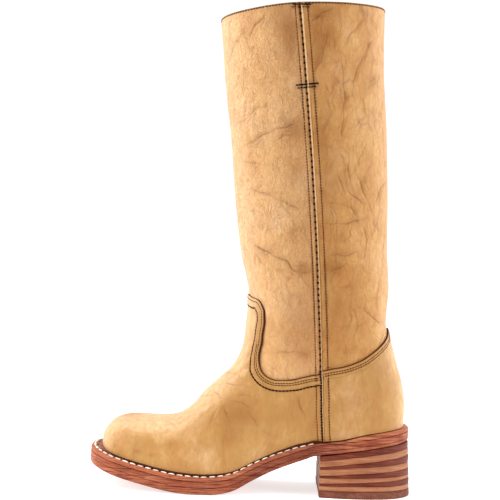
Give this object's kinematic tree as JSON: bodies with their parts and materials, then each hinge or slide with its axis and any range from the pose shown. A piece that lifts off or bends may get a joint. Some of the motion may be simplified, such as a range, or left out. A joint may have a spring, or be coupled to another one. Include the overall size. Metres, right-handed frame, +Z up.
{
  "type": "campus boot",
  "caption": "Left knee-high campus boot in tan leather: pull-on shaft with side seams, welted round square toe, vamp with raised tongue, heel counter, stacked leather heel.",
  "frame": {"origin": "centre of the boot's bounding box, on the floor", "axes": "+Z up the shaft, -X towards the toe, -Y towards the outer side of the left foot"},
  "size_m": [0.2699, 0.1134, 0.407],
  "materials": {
    "upper_leather": "tan pull-up leather, fine crackled grain, waxy sheen",
    "overlay_leather": "tan pull-up leather, smooth, creased at the instep",
    "piping_leather": "cream folded leather piping",
    "lining_leather": "plain unpolished lining leather",
    "welt_leather": "reddish brown burnished leather edge",
    "sole_leather": "reddish brown burnished leather edge",
    "light_lift": "light brown stacked leather edge",
    "dark_lift": "dark red-brown stacked leather edge",
    "heel_rubber": "brown moulded rubber, matt"
  },
  "bodies": {
    "root": {"upper": "upper_leather", "vamp": "overlay_leather", "counter": "overlay_leather", "piping_outer": "piping_leather", "piping_inner": "piping_leather", "pull_strap_outer": "lining_leather", "pull_strap_inner": "lining_leather", "insole": "lining_leather", "welt": "welt_leather", "heel_rand": "welt_leather", "midsole": "sole_leather", "outsole": "sole_leather", "heel_lift_1": "dark_lift", "heel_lift_2": "light_lift", "heel_lift_3": "dark_lift", "heel_lift_4": "light_lift", "heel_lift_5": "dark_lift", "heel_lift_6": "light_lift", "heel_lift_7": "dark_lift", "heel_lift_8": "light_lift", "top_lift": "heel_rubber"}
  },
  "joints": []
}
